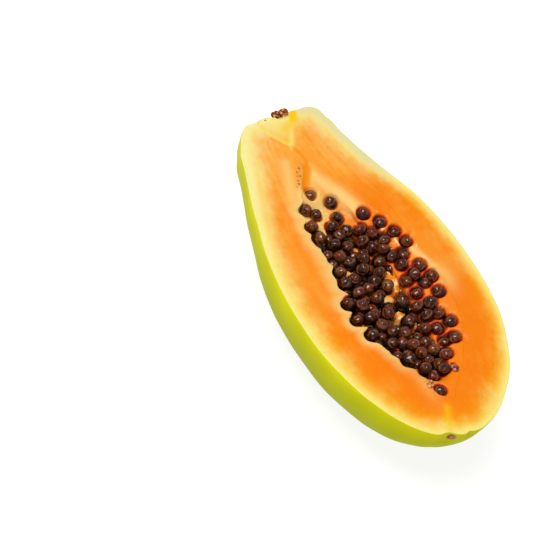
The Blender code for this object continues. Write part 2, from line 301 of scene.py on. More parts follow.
def rind_surface(share, angle):
    """The rind's points at each share of the outline's length and each angle round the axis."""
    along, radius = at_share(RIND_LINE, share)
    from_end = np.minimum(along, 160 - along)
    ribs = RIB_SHARE + (RIB_SHARE_AT_ENDS - RIB_SHARE) * np.exp(-((from_end / RIB_END_LENGTH) ** 2))
    radius = WITHIN_THE_SOLID * radius * (1 + ribs * (np.cos(5 * angle) - 1))
    points = np.column_stack([along, radius * np.cos(angle) + sway(along), radius * np.sin(angle)])
    # Broad hollows are 38 mm wide and up to 0.8 mm deep, small ones 9 mm wide and 0.12 mm deep.
    hollow = np.clip(lumps(points, 38, 3), 0, 1) * 0.8 + np.clip(lumps(points, 9, 4), 0, 1) * 0.12
    outward = np.column_stack([np.zeros(len(angle)), np.cos(angle), np.sin(angle)])
    points -= outward * (smooth_step(-points[:, 2], 1.0, 14.0) * hollow)[:, None]
    mark_the_ends(points, along)
    points[:, 2] = np.maximum(points[:, 2], LYING_ON)
    return points


fruit, share, angle = half_ball("papaya_flesh", 72)
set_points(fruit, to_frame(rind_surface(share, angle)))
print("rind:", len(fruit.data.polygons), "faces")

# %% [markdown]
# ## Where the seeds lie
#
# The seeds come first, because the soft pulp has taken their shape: it dips under each seed and
# stands up between them. The ones that show have been placed one by one, along and across.
# In section the cavity is a five-pointed star, one point for each row that the seeds grew in, and
# the seeds' bed slopes up from its near rim to its far one and sags between.

# %% The seeds on top, and the height of their bed
STAR_SHARE = 0.26
DEPTH_SHARE = 0.75
SEED_RADIUS = 2.85
TOP_SEEDS = [
    (39.4, -4.1), (45.3, 2.6), (45.7, -9.8), (48.3, -6.2), (53.2, -11.2), (59.0, -11.2), (52.1, 2.0),
    (55.4, -2.2), (54.9, 12.4), (60.6, 16.9), (66.5, 20.6), (72.3, 22.5), (58.9, 2.7), (60.4, 8.1),
    (63.9, 11.7), (67.6, 15.1), (63.5, -6.4), (60.5, -2.1), (65.9, -1.4), (66.2, 6.0), (68.5, 9.3),
    (68.9, -6.7), (73.1, -4.3), (72.9, 2.5), (76.0, 8.0), (75.9, 14.2), (72.3, 12.8), (76.8, 18.5),
    (81.0, 15.9), (84.2, 22.1), (90.4, 23.8), (87.0, 17.5), (91.6, 20.4), (97.8, 23.0), (75.9, -11.0),
    (80.7, -7.0), (77.8, -0.9), (81.8, -12.3), (86.9, -8.9), (86.2, -4.0), (83.8, 1.4), (81.4, 4.6),
    (87.6, 5.1), (91.5, -2.1), (88.1, 14.1), (94.6, 14.7), (90.6, -16.3), (92.9, -11.0), (98.4, -16.7),
    (99.3, -11.2), (97.8, -7.3), (99.0, -1.4), (96.7, 6.6), (100.6, 11.6), (101.0, 17.2), (105.5, 13.6),
    (106.4, 17.9), (111.6, 20.0), (103.6, -7.9), (106.1, -14.2), (107.4, -4.9), (112.0, -8.4), (109.8, -0.5),
    (105.3, 4.2), (110.3, 9.3), (112.4, 14.0), (113.6, -2.9), (115.5, 0.1), (116.4, 5.4), (118.4, 13.5),
    (118.8, 17.4), (120.7, 7.0), (123.9, 10.6), (120.8, 0.8), (124.0, 2.6), (121.2, -5.9), (126.5, 6.2),
    (127.2, -1.4), (130.7, 0.7), (129.9, 5.4), (138.8, -2.3),
]
HIGHEST_SEED = -1.85  # no seed's middle is higher than this, so the heap keeps within the solid's box


def star(along, angle):
    """How much wider than its mean the cavity is: the cut goes through a point of the star on the far side."""
    fade = smooth_step(along, 38, 62) * smooth_step(along, 144, 124)
    return 1 + STAR_SHARE * fade * np.cos(5 * angle)


def reach(along, side):
    """How far the cavity's rim is from the axis, on the far side (1) or the near side (-1)."""
    mean = np.interp(along, *np.array(CAVITY_STATIONS).T)
    return mean * star(along, 0 if side > 0 else math.pi) + 1.2 * np.minimum(1, mean / 6)


def bed(along, across):
    """Height of the middle of the seeds on top."""
    near, far = reach(along, -1), reach(along, 1)
    half = (near + far) / 2
    place = np.clip((across - sway(along) - (far - near) / 2) / np.maximum(half, 1), -1, 1)
    return -3.0 + 1.2 * (1 + place) / 2 - 1.8 * (1 - place**2) * np.minimum(1, half / 20)


rng = random.Random(11)
top = np.array([(x, y, min(bed(x, y) + rng.uniform(-0.3, 0.5), HIGHEST_SEED)) for x, y in TOP_SEEDS])
print("seeds on top:", len(top))

# %% [markdown]
# ## The seed cavity
#
# The near wall drops straight from the rim, but the far one slopes gently, so the flesh runs down to
# the seeds without an edge. At the stem end the cavity narrows to a shallow trough. The near rim
# bends round every seed that lies against it, and the bed of pulp is open in some places and deep in
# others, with a dimple under each seed.

# %% The near rim
NEAR_RIM = [  # along and across
    (24, -1.0), (31, -2.9), (36, -7.0), (42, -10.4), (47, -13.2), (50, -12.6), (55, -14.0), (62, -15.6),
    (65, -15.2), (71, -15.5), (76, -13.8), (80, -16.4), (84, -17.2), (88, -15.2), (90.5, -18.4), (95, -18.0),
    (99, -19.2), (102, -16.6), (106, -14.2), (109, -17.2), (112, -14.6), (118, -12.6), (124, -9.4), (127, -7.6),
    (130, -5.3), (134, -4.2), (137, -5.0), (140.5, -4.8), (142.5, -2.6), (144, 0.0),
]
ROOM_ROUND_A_SEED = 3.1
SLIDE = (0.51, -0.70)  # along and across: how far the view slides for each millimetre of depth


def near_rim(along):
    """Where the near rim is: on the line above, pushed back by the seeds that lie against it."""
    flat = np.column_stack([along, np.zeros((len(along), 2))])
    ragged = (lumps(flat, 2.6, 31) + lumps(flat, 1.1, 32) * 0.8) * smooth_step(along, 34, 44)
    line = np.interp(along, *np.array(NEAR_RIM).T) + ragged
    for x, y, z in top[:-1]:  # the last seed lies on the flesh, past the end of the heap
        off = along - (x - SLIDE[0] * z)
        bite = y - SLIDE[1] * z - np.sqrt(np.clip(ROOM_ROUND_A_SEED**2 - off**2, 0, None))
        line = np.where(np.abs(off) < ROOM_ROUND_A_SEED, np.minimum(line, bite), line)
    return line


rim_along = np.linspace(24, 144, 361)
# The mean of five neighbours takes the sharp corners off the line.
rim_across = np.convolve(np.pad(near_rim(rim_along), 2, mode="edge"), np.full(5, 0.2), mode="valid")
print("near rim: from", round(float(rim_across.min()), 1), "to", round(float(rim_across.max()), 1), "mm across")

# %% The wall and the pulp between the seeds
BARE_PULP = [  # along, across and radius
    (83.9, 9.8, 3.4), (88.6, 8.8, 3.0), (92.6, 4.0, 2.4), (101.1, 4.5, 2.4), (70.9, 19.0, 2.2), (68.3, 2.4, 2.0),
    (72.3, 6.3, 2.2), (63.9, 16.1, 2.4), (76.6, -6.3, 2.0), (52.8, -6.0, 3.0), (66.8, -13.4, 2.2), (112.7, 3.2, 2.0),
    (107.5, -12.5, 2.6), (106.9, 6.8, 1.8), (45.0, -6.7, 3.0), (49.6, -0.2, 3.4), (57.0, 6.4, 3.4), (51.5, 7.5, 3.6),
    (47.0, 6.5, 3.0), (49.0, -10.0, 3.0), (97.7, 18.4, 2.0), (42.0, 0.0, 4.0),
]
TROUGH_DEPTH = 1.0
TROUGH = [(28.2, 0.4), (31.2, -1.4), (33.8, -3.2), (37.0, -5.2)]


def near_path(places, path, width, power=2):
    """1 on a line through the places in the path, falling to a third at width from it."""
    nearest = np.full(len(places), 1e9)
    for start, end in zip(path[:-1], path[1:]):
        start, step = np.array(start, float), np.array(end, float) - np.array(start, float)
        share = np.clip(((places[:, :2] - start) @ step) / (step @ step), 0, 1)
        nearest = np.minimum(nearest, np.linalg.norm(places[:, :2] - start - share[:, None] * step, axis=1))
    return np.exp(-((nearest / width) ** power))


def trough(places):
    """How far the trough sinks at each place."""
    return TROUGH_DEPTH * near_path(places, TROUGH, 2.1, 2.5)


def pulp_stands(along, across):
    """From 0 to 1: whether pulp stands up between the seeds here."""
    flat = np.column_stack([along, across, np.zeros(len(along))])
    value = lumps(flat, 3.6, 33) - 0.2 - 0.35 * smooth_step(along, 74, 82) * smooth_step(across, 3, 8)
    for x, y, radius in BARE_PULP:
        value += 1.2 * np.exp(-((np.hypot(along - x, across - y) / radius) ** 4))
    return smooth_step(value, 0.0, 0.35)


def with_pulp(points, near):
    """Raises the bed between the seeds, dips it under each seed and sinks the trough."""
    x, y, z = points.T
    heap = smooth_step(x, 38, 43) * (1 - smooth_step(x, 134, 140))
    # The pulp's top lies 1.5 mm below the seeds' middles, and near the stem 1 mm higher than that.
    height = bed(x, y) - 1.5 + (1 - smooth_step(x, 52, 60)) + 0.7 * lumps(points * [1, 1, 0], 2.4, 34)
    z = z + pulp_stands(x, y) * heap * np.clip(height - z, 0, None)
    for seed_x, seed_y, seed_z in top:
        under = np.exp(-((np.hypot(x - seed_x, y - seed_y) / 2.9) ** 6))
        under *= 1 - near**2 * (1 - smooth_step(-z, 1.0, 2.5))  # but not at the near rim
        z = z + under * np.minimum(seed_z - 1.2 - z, 0)
    return np.column_stack([x, y, z - trough(points)])


LIP_DEPTH = 0.7  # the near wall drops this far straight from the rim


def cavity_surface(share, angle):
    """The cavity wall's points at each share of the outline's length and each angle round the axis."""
    along, mean = at_share(CAVITY_LINE, share)
    near = (1 - np.cos(angle)) / 2  # 1 on the near side, 0 on the far side
    plain = np.column_stack([along, mean * np.cos(angle), mean * np.sin(angle) * DEPTH_SHARE])
    far_lip = 0.7 * (1 - near) * np.exp(-((plain[:, 2] / 1.5) ** 2)) * np.clip(mean / 6, 0, 1)
    rim = sway(along) - np.interp(along, rim_along, rim_across)
    to_rim = (rim - mean * star(along, math.pi)) * np.clip(mean / 3, 0, 1)
    uneven = lumps(plain, 5, 5) * 0.5 * (1 - near**3) * np.clip(mean / 5, 0, 1)
    radius = mean * star(along, angle) + far_lip + to_rim * near**3 + uneven

    # The star fades out of the depth near the stem, and both ends of the cavity are shallow.
    unstarred = radius - mean * (star(along, angle) - 1) * (1 - smooth_step(along, 56, 70))
    slope = 1 + (1.2 - 0.5 * smooth_step(along, 72, 84)) * smooth_step(np.cos(angle), -0.2, 0.6)
    ends = (0.12 + 0.88 * smooth_step(along, 35, 60)) * (1 - 0.9 * smooth_step(along, 128, 138))
    far_rise = 1 - 0.35 * smooth_step(np.cos(angle), 0, 0.8) * (1 - smooth_step(along, 62, 80))
    height = -DEPTH_SHARE * unstarred * np.abs(np.sin(angle)) ** slope * ends * far_rise
    lip_there = smooth_step(along, 38, 46) * (1 - smooth_step(along, 132, 140)) * near
    height -= LIP_DEPTH * np.exp(height / 1.4) * lip_there
    return with_pulp(np.column_stack([along, radius * np.cos(angle) + sway(along), height]), near)


cavity, share, angle = half_ball("cavity", 80)
set_points(cavity, to_frame(cavity_surface(share, angle)))
print("cavity:", len(cavity.data.polygons), "faces")

# %% [markdown]
# ## The cut face
#
# The cut is a ring between the rind's edge and the cavity's rim. A plain grid is laid round it:
# its long side goes along the far edge and back along the near one, and its short side goes from
# the rind to the cavity. Its points land on the points of both shells, so merging closes the seams.
# The knife leaves an edge that is crisp but not razor sharp: both rims get a small bevel.

# %% Lay the cut face between the shells
ROWS = 30
KNIFE_DIP = 0.12  # the cut sags this much below its rims
RIM_ROUNDING = 1.6  # the flesh follows the cavity's rim up and down this far from it
deselect()
bpy.ops.mesh.primitive_grid_add(x_subdivisions=2 * RINGS, y_subdivisions=ROWS, size=2)
cut = bpy.context.object
cut.name = cut.data.name = "cut_face"
places = get_points(cut)
round_loop = np.round((places[:, 0] + 1) * RINGS) / RINGS
share = np.where(round_loop <= 1, round_loop, 2 - round_loop)
angle = np.where(round_loop <= 1, 0.0, -math.pi)
inward = ((places[:, 1] + 1) / 2)[:, None]
outer, inner = rind_surface(share, angle), cavity_surface(share, angle)
width = np.linalg.norm(outer[:, :2] - inner[:, :2], axis=1)
cut_points = outer * (1 - inward) + inner * inward
from_rim = width * (1 - inward[:, 0])
to_edge = np.clip(width - from_rim, 0, None)
waves = lumps(cut_points, 9, 7) * 0.12 + lumps(cut_points, 2.5, 8) * 0.03
waves *= smooth_step(np.minimum(from_rim, to_edge), 0, 3)
rim_z = inner[:, 2] + trough(inner)
cut_points[:, 2] = rim_z * np.exp(-((from_rim / RIM_ROUNDING) ** 1.3)) - KNIFE_DIP + waves
cut_points[:, 2] = np.minimum(cut_points[:, 2], 0) * smooth_step(to_edge, 0, 2)
cut_points[:, 2] -= trough(cut_points)
cut_points[:, 2] = np.where(inward[:, 0] > 0.999, inner[:, 2], cut_points[:, 2])
set_points(cut, to_frame(cut_points))
print("cut face:", len(cut.data.polygons), "faces")

# %% Join the three and merge their seams
RIND_SLOT, FLESH_SLOT, LINING_SLOT = 0, 1, 2
SLOT_NAMES = ("papaya_rind_waxy", "papaya_flesh_cut", "papaya_flesh_lining")
slots = [bpy.data.materials.new(name) for name in SLOT_NAMES]
deselect()
for obj, slot in ((cut, FLESH_SLOT), (cavity, LINING_SLOT), (fruit, RIND_SLOT)):
    for material in slots:
        obj.data.materials.append(material)
    obj.data.polygons.foreach_set("material_index", np.full(len(obj.data.polygons), slot))
    obj.select_set(True)
    bpy.context.view_layer.objects.active = obj
bpy.ops.object.join()
set_mode("EDIT")
bpy.ops.mesh.select_all(action="SELECT")
bpy.ops.mesh.remove_doubles(threshold=0.002 * MM)
bpy.ops.mesh.dissolve_degenerate(threshold=0.002 * MM)
bpy.ops.mesh.normals_make_consistent(inside=False)
set_mode("OBJECT")
print("fruit:", len(fruit.data.polygons), "faces")


# %% Bevel the two rims
def bevel_rim(obj, slot, width, segments):
    """Rounds the edge between the cut face and the faces with this material slot."""
    sides = {}
    for face in obj.data.polygons:
        for key in face.edge_keys:
            sides.setdefault(key, set()).add(face.material_index)
    set_mode("EDIT")
    bpy.ops.mesh.select_mode(type="EDGE")
    bpy.ops.mesh.select_all(action="DESELECT")
    set_mode("OBJECT")
    for edge in obj.data.edges:
        edge.select = sides[edge.key] == {FLESH_SLOT, slot}
    set_mode("EDIT")
    bpy.ops.mesh.bevel(offset=width, segments=segments, affect="EDGES", clamp_overlap=True)
    bpy.ops.mesh.select_all(action="DESELECT")
    set_mode("OBJECT")


bevel_rim(fruit, RIND_SLOT, 0.3 * MM, 2)
bevel_rim(fruit, LINING_SLOT, 0.5 * MM, 2)
bpy.ops.object.shade_smooth()
print("fruit:", len(fruit.data.polygons), "faces with its bevels")

# %% [markdown]
# ## Measures for the finish
#
# The flesh changes colour with its depth under the rind and near the seeds. Both distances are
# measured once for each point and kept in the mesh, so that the material can read them.

# %% Measure how far each point is from the rind and from the cavity
points = (get_points(fruit) - np.array(STEM_END)) / MM


def distance_to(targets):
    tree = kdtree.KDTree(len(targets))
    for i, target in enumerate(targets):
        tree.insert(target, i)
    tree.balance()
    return np.array([tree.find(p)[2] for p in points])


def points_in_slot(slot):
    found = sorted({i for face in fruit.data.polygons if face.material_index == slot for i in face.vertices})
    return points[found]


from_rind = distance_to(points_in_slot(RIND_SLOT))
from_cavity = distance_to(points_in_slot(LINING_SLOT))
along, across = points[:, 0], points[:, 1] - sway(points[:, 0])
far = smooth_step(across, -4, 6)
half_width = np.maximum(np.interp(along, RIND_LINE[:, 0], RIND_LINE[:, 1]), 6)
write_value(fruit, "lengthwise", np.column_stack([along, 30 * across / half_width, points[:, 2]]))
print("deepest flesh:", round(float(from_rind.max()), 1), "mm")

# %% [markdown]
# ## Where the flesh is pale and where it is ripe
#
# A papaya ripens from the middle outwards. The band of pale flesh under the rind is broad at the
# stem and narrow on the far side, and the orange is deepest towards the blossom end. A woody core,
# pale yellow, reaches in from the stem as a wedge. Each of these is written into the mesh as a
# number from 0 to 1, as a painter would mask it.


# %% Masks for the flesh
def spot(centre, radii):
    """1 at the centre, falling to a third at the radii; across is measured on the fruit, not from its axis."""
    away = np.hypot((points[:, 0] - centre[0]) / radii[0], (points[:, 1] - centre[1]) / radii[1])
    return np.exp(-(away**2))


def stroke(strength, path, width, power=2):
    """The strength on a line through the places in the path, falling to a third of it at width from it."""
    return strength * near_path(points, path, width, power)


def write_mask(name, values):
    write_value(fruit, name, np.clip(values, 0, 1))


# Spots have a strength, a middle and two radii; strokes a strength, a path, a width and sometimes a power.
RIPE_SPOTS = [
    (0.55, (11, 6), (8, 6)), (0.25, (30, -18), (7, 3.5)), (0.25, (44, -22), (9, 4)), (0.30, (104, 33), (11, 9)),
    (-0.35, (91, 32), (7, 7)), (-0.2, (82, -30), (16, 6)), (0.12, (120, -24), (18, 8)),
]
CREAM_SPOTS = [(0.6, (93, 29), (7, 3.5)), (0.45, (133, -7), (9, 3))]
# Painted highlights: small cream specks on the tops of the bare pulp.
HIGHLIGHT_SPECKS = [(85.5, 6.6), (92.6, 3.4), (102.2, 5.6), (113.4, 3.0), (52.6, -7.6), (76.2, -8.4)]
CREAM_STROKES = [
    (0.95, [(31, 0), (38, 3.5), (45, 8), (51, 10)], 3.4), (0.85, [(76.5, 22.5), (83, 25.0), (88, 27.5)], 1.9),
    (0.75, [(24, -8), (33, -11), (41, -14)], 2.8),
]
CORE_STROKES = [
    (1, [(3.5, -8.5), (10.7, -6.0), (17.4, -0.8)], 1.1), (1, [(5.3, 5.6), (9.8, 3.3), (17.4, -0.8)], 1.1),
]
YELLOW_STROKES = [
    (1, [(1.4, 8.8), (4.6, 7.6)], 2.0, 4), (0.6, [(4.5, 7.2), (7.4, 4.2)], 1.7),
    (0.5, [(12, -2.6), (15, -1.4)], 1.2), (0.55, [(147, -4.2), (150.4, -6.3), (156.5, -8.7)], 1.8),
]
FIBRE_STROKES = [
    (0.9, [(17.9, -0.4), (21.7, 1.2), (25.1, 1.8), (27.8, 0.8)], 0.9), (0.7, [(11, -7), (17, -2.2)], 0.8),
    (1, TROUGH, 1.8, 4),
]
SCAB_STROKES = [
    (0.9, [(2.6, -10.6), (1.9, -7.5), (2.1, -4.0)], 1.0), (1, [(27.7, -3.6), (31.5, -5.7), (35.4, -8.3)], 1.5, 4),
]

band = 1 + 0.6 * far * smooth_step(along, 22, 50) * (1 - smooth_step(along, 126, 146))
band *= 1 - 0.27 * np.exp(-(((along - 22) / 16) ** 2)) + 0.12 * smooth_step(along, 100, 125)
write_value(fruit, "depth", from_rind * band)

ripe = smooth_step(along, -8, 128) + 0.42 * far * np.exp(-(((along - 54) / 17) ** 2))
write_mask("ripe", ripe + sum(amount * spot(centre, radii) for amount, centre, radii in RIPE_SPOTS))

cream = (1 - far) * (1 - smooth_step(from_cavity, 0.5, 6.5 - 1.5 * smooth_step(along, 80, 95)))
cream *= smooth_step(along, 28, 42) * (1 - smooth_step(along, 114, 140))
layers = [stroke(*line) for line in CREAM_STROKES]
layers += [amount * spot(centre, radii) for amount, centre, radii in CREAM_SPOTS]
layers += [0.8 * spot(centre, (1.3, 1.3)) for centre in HIGHLIGHT_SPECKS]
# This mask holds the flesh's pale parts and also the painted highlight specks.
write_mask("cream", np.max([cream] + layers, axis=0))

wedge = stroke(0.5, [(2.5, 0), (7, -1.6), (10, -2.4)], 3.2) * (1 - smooth_step(along, 12, 18))
core = np.maximum(sum(stroke(*line) for line in CORE_STROKES), wedge)
write_mask("core", np.clip(core, 0, 1) * (points[:, 2] > -1.5))
yellow = sum(stroke(*line) for line in YELLOW_STROKES) + 0.55 * spot((8.5, 0.8), (2.6, 2.2))
write_mask("yellow", np.clip(yellow, 0, 1) * (points[:, 2] > -3))
write_mask("fibre", sum(stroke(*line) for line in FIBRE_STROKES))
write_mask("scab", sum(stroke(*line) for line in SCAB_STROKES))

inside = from_cavity < 0.5
# Painted shade: the pulp deep below the seeds' bed gets a darker red-orange.
below_bed = bed(points[:, 0], points[:, 1]) - points[:, 2]
write_mask("glow", smooth_step(below_bed, 1.8, 4.5) * (along > 42) * (along < 140) * inside)
# Painted shade and glow: the pulp darkens to red round each seed on top, darkest where they touch.
gap = np.clip(distance_to(top) - SEED_RADIUS, 0, None)
write_mask("stain", np.exp(-(gap**2)) * (from_cavity < 2.5) * (0.45 + 0.55 * smooth_step(along, 48, 54)))
# Where pulp stands between the seeds; the flesh paints cream highlights on its tops.
standing = pulp_stands(points[:, 0], points[:, 1]) * inside
write_mask("pulp", standing * smooth_step(along, 54, 62) * (1 - smooth_step(along, 124, 132)))
shoulder = smooth_step(across, 4, 12) * (1 - smooth_step(along, 30, 52))
write_mask("shoulder", shoulder * (1 - smooth_step(from_rind, 1.5, 5)))

from_stem = np.hypot(points[:, 1] - 4.2, points[:, 2])
round_the_stalk = np.exp(-(((from_stem - 8) / 4.5) ** 2)) * (along < 6)
write_mask("cork", np.exp(-((distance_from_scar(points) / 2.2) ** 4)) + round_the_stalk)
print("masks:", len(fruit.data.attributes), "values are kept in the mesh")

# %% [markdown]
# ## Helpers for materials
#
# Colours are written as the hex values that a painter would pick on a screen, and one function turns
# them into the linear values that the renderer works in. One more function adds a node, and links it to
# the nodes that it takes its inputs from.

# %% Colours and nodes
def colour(hex_value):
    """Turns an sRGB hex colour into linear red, green, blue and alpha."""
    parts = [int(hex_value[i : i + 2], 16) / 255 for i in (1, 3, 5)]
    return [p / 12.92 if p <= 0.04045 else ((p + 0.055) / 1.055) ** 2.4 for p in parts] + [1.0]


def result_of(source):
    """A node's first output that is in use; an output stays as it is."""
    if isinstance(source, bpy.types.NodeSocket):
        return source
    return next(output for output in source.outputs if output.enabled)


def link(material, source, target):
    material.node_tree.links.new(result_of(source), target)


def add_node(material, kind, settings=None, values=None, links=None):
    """Adds a node, sets its properties and sockets, and links its inputs to other nodes."""
    node = material.node_tree.nodes.new("ShaderNode" + kind)
    for key, value in (settings or {}).items():
        setattr(node, key, value)
    for key, value in (values or {}).items():
        node.inputs[key].default_value = value
    for key, source in (links or {}).items():
        link(material, source, node.inputs[key])
    return node


# What many nodes share: settings, the numbers of a colour mix's sockets, and where most of a noise lies.
SMOOTH, IN_COLOUR = {"interpolation_type": "SMOOTHSTEP"}, {"data_type": "RGBA"}
MIX_SHARE, UNDER, OVER = 0, 6, 7
MOST_OF_NOISE = {"From Min": 0.3, "From Max": 0.7}


def as_seen(hex_value, gloss=0.0, light=1.0):
    """The colour that is seen as this one under this much light and a gloss that adds white to it."""
    return [max(0.0, part - gloss) / light for part in colour(hex_value)[:3]] + [1.0]


def set_ramp(node, stops, gloss=0.0, light=1.0):
    """Gives a colour ramp its stops: (place, hex colour as seen)."""
    ramp = node.color_ramp
    while len(ramp.elements) > 1:
        ramp.elements.remove(ramp.elements[-1])
    ramp.elements[0].position = stops[0][0]
    ramp.elements[0].color = as_seen(stops[0][1], gloss, light)
    for place, hex_value in stops[1:]:
        ramp.elements.new(place).color = as_seen(hex_value, gloss, light)


def fresh(material):
    """Empties a material down to its shader and output, and gives the shader and a way to add nodes to it."""
    material.use_nodes = True
    material.node_tree.nodes.clear()
    add = partial(add_node, material)
    shader = add("BsdfPrincipled")
    add("OutputMaterial", links={"Surface": shader})
    return shader, add


# %% [markdown]
# ## Papaya flesh
#
# Ripe flesh is a firm, wet jelly full of fine fibres. It is pale yellow-green under the rind,
# warms to deep orange in the middle, and is paler again round the cavity. Light goes a few
# millimetres into it, and its wet surface gives broad soft highlights.

# %% Finish the flesh
UNDER_THE_RIND = 24.0  # the ramps' length, in millimetres
FLESH_GLOSS = 0.023
LIGHT_ON_CUT = 1.10  # the cut face gets a little more light than a white card needs
UNRIPE = [  # millimetres under the rind and the colour there
    (0.0, "#f6ee9a"), (0.6, "#f8f0a2"), (1.6, "#fbeea0"), (3.2, "#fae592"), (5.2, "#fbd884"), (7.4, "#fcc674"),
    (9.6, "#fdb95c"), (13, "#feb14e"), (20, "#ffaa40"),
]
RIPE = [
    (0.0, "#f8ee7e"), (0.6, "#fbec84"), (1.6, "#fde684"), (3.2, "#fdd868"), (5.2, "#fdc150"), (7.2, "#fcab3a"),
    (9.2, "#fb9a22"), (11.4, "#fd8f12"), (15, "#fe8a08"), (22, "#fc870a"),
]
# Most tints are the flesh's own; the cream tint also covers painted highlight specks on the bare pulp, and the last,
# red-orange tint is painted shade deep in the hollows.
MASK_TINTS = {
    "shoulder": "#e9dfa2", "cream": "#fece7c", "core": "#fbdf74", "yellow": "#fcce30", "fibre": "#fb9412",
    "glow": "#f06c18",
}


def finish_flesh(material):
    shader, add = fresh(material)
    place = add("TexCoord").outputs["Object"]
    names = ("depth", "ripe", "stain", "pulp", "scab", *MASK_TINTS)
    value = {name: add("Attribute", {"attribute_name": name}).outputs["Fac"] for name in names}

    # Blotches 12 mm wide and a mottle of 2 mm move the bands in and out, as cells of different ripeness do.
    blotch = add("TexNoise", values={"Scale": 85.0}, links={"Vector": place})
    mottle = add("TexNoise", values={"Scale": 420.0, "Detail": 3.0, "Roughness": 0.6}, links={"Vector": place})
    shift, fine_shift = [
        add("MapRange", values={**MOST_OF_NOISE, "To Min": -swing, "To Max": swing}, links={"Value": source})
        for source, swing in ((blotch, 1.1), (mottle, 0.5))
    ]
    moved = add("Math", {"operation": "ADD"}, links={0: shift, 1: fine_shift})
    inside = add("MapRange", SMOOTH, values={"From Min": 1.0, "From Max": 6.0}, links={"Value": value["depth"]})
    depth = add("Math", {"operation": "MULTIPLY_ADD"}, links={0: moved, 1: inside, 2: value["depth"]})
    share = add("MapRange", values={"From Max": UNDER_THE_RIND}, links={"Value": depth})
    unripe, ripe = [add("ValToRGB", links={"Fac": share}) for _ in range(2)]
    for ramp, tints in ((unripe, UNRIPE), (ripe, RIPE)):
        set_ramp(ramp, [(at / UNDER_THE_RIND, tint) for at, tint in tints], FLESH_GLOSS, LIGHT_ON_CUT)

    # Fibres run from the stem to the blossom end: streaks 2 mm wide and 20 mm long, stronger towards the stem.
    lengthwise = add("Attribute", {"attribute_name": "lengthwise"}).outputs["Vector"]
    along_fibres = add("Mapping", values={"Scale": (0.05, 0.5, 0.5)}, links={"Vector": lengthwise})
    streak = add("TexNoise", values={"Scale": 1.0, "Detail": 3.0, "Roughness": 0.6}, links={"Vector": along_fibres})
    centred = add("MapRange", values={**MOST_OF_NOISE, "To Min": -1.0, "To Max": 1.0}, links={"Value": streak})
    along_the_axis = add("SeparateXYZ", links={"Vector": place}).outputs["X"]
    towards_the_stem = {"From Min": -0.06, "From Max": 0.0, "To Min": 1.6, "To Max": 0.6}
    strength = add("MapRange", values=towards_the_stem, links={"Value": along_the_axis})
    streaked = add("Math", {"operation": "MULTIPLY"}, links={0: centred, 1: strength})
    both = add("Math", {"operation": "ADD"}, links={0: moved, 1: streaked})
    limited_sum = {"operation": "MULTIPLY_ADD", "use_clamp": True}
    ripeness = add("Math", limited_sum, values={1: 0.2}, links={0: both, 2: value["ripe"]})
    tint = add("Mix", IN_COLOUR, links={MIX_SHARE: ripeness, UNDER: unripe, OVER: ripe})

    # Each mask lays its own colour over that.
    for name, hex_value in MASK_TINTS.items():
        seen = as_seen(hex_value, FLESH_GLOSS, LIGHT_ON_CUT)
        tint = add("Mix", IN_COLOUR, values={OVER: seen}, links={MIX_SHARE: value[name], UNDER: tint})

    # Painted highlights lie as cream films on the tops of the wet pulp between the seeds,
    # and painted shade and glow turn the pulp red round each seed, darkest where they touch.
    highlight_noise = add("TexNoise", values={"Scale": 420.0}, links={"Vector": place})
    highlight_there = add("MapRange", SMOOTH, values={"From Min": 0.5, "From Max": 0.6}, links={"Value": highlight_noise})
    highlight_share = add("Math", {"operation": "MULTIPLY"}, links={0: highlight_there, 1: value["pulp"]})
    # Painted highlights: cream patches on the tops of the standing pulp.
    seen = as_seen("#fee0a4", FLESH_GLOSS, LIGHT_ON_CUT)
    highlighted = add("Mix", IN_COLOUR, values={OVER: seen}, links={MIX_SHARE: highlight_share, UNDER: tint})
    seed_shade_tint = add("ValToRGB", links={"Fac": value["stain"]})
    set_ramp(seed_shade_tint, [(0.3, "#f27a1c"), (0.65, "#d8460e"), (1.0, "#8e2408")])
    half_shaded = {"From Min": 0.25, "From Max": 0.75}
    seed_shade_share = add("MapRange", SMOOTH, values=half_shaded, links={"Value": value["stain"]})
    seed_shaded = add("Mix", IN_COLOUR, links={MIX_SHARE: seed_shade_share, UNDER: highlighted, OVER: seed_shade_tint})

    # Dry brown crumbs a third of a millimetre wide cling where the skin tore at the stem and along the trough.
    crumbs = add("TexVoronoi", values={"Scale": 720.0}, links={"Vector": place})
    crumbs_there = add("Math", {"operation": "SUBTRACT"}, links={0: value["scab"], 1: crumbs})
    crumb_share = add("MapRange", values={"From Min": 0.4, "From Max": 0.55}, links={"Value": crumbs_there})
    crumbed = add("Mix", IN_COLOUR, values={OVER: colour("#b8702c")}, links={MIX_SHARE: crumb_share, UNDER: seed_shaded})
    link(material, crumbed, shader.inputs["Base Color"])

    # The wet surface: cells and fibres a millimetre or two across stand out a few hundredths.
    cells = add("TexVoronoi", {"feature": "SMOOTH_F1"}, values={"Scale": 620.0}, links={"Vector": place})
    relief = add("Math", {"operation": "ADD"}, links={0: mottle, 1: cells})
    bump = add("Bump", values={"Strength": 0.25, "Distance": 0.0004}, links={"Height": relief})
    link(material, bump, shader.inputs["Normal"])
    shader.inputs["Roughness"].default_value = 0.4
    shader.inputs["IOR"].default_value = 1.38
    shader.inputs["Specular IOR Level"].default_value = 0.3
    shader.inputs["Subsurface Weight"].default_value = 0.12
    shader.inputs["Subsurface Radius"].default_value = (1.0, 0.40, 0.12)
    shader.inputs["Subsurface Scale"].default_value = 0.003


finish_flesh(slots[FLESH_SLOT])
finish_flesh(slots[LINING_SLOT])

# %% [markdown]
# ## Papaya rind
#
# The skin is thin, waxy and smooth. It is yellow-green where the fruit has begun to ripen and pale near the stem.
# It darkens towards the bottom, partly as a greener underside and partly as painted shade.

# %% Finish the rind
RIND_GLOSS = 0.02
skin = slots[RIND_SLOT]
shader, add = fresh(skin)
place = add("TexCoord").outputs["Object"]
axes = add("SeparateXYZ", links={"Vector": place})
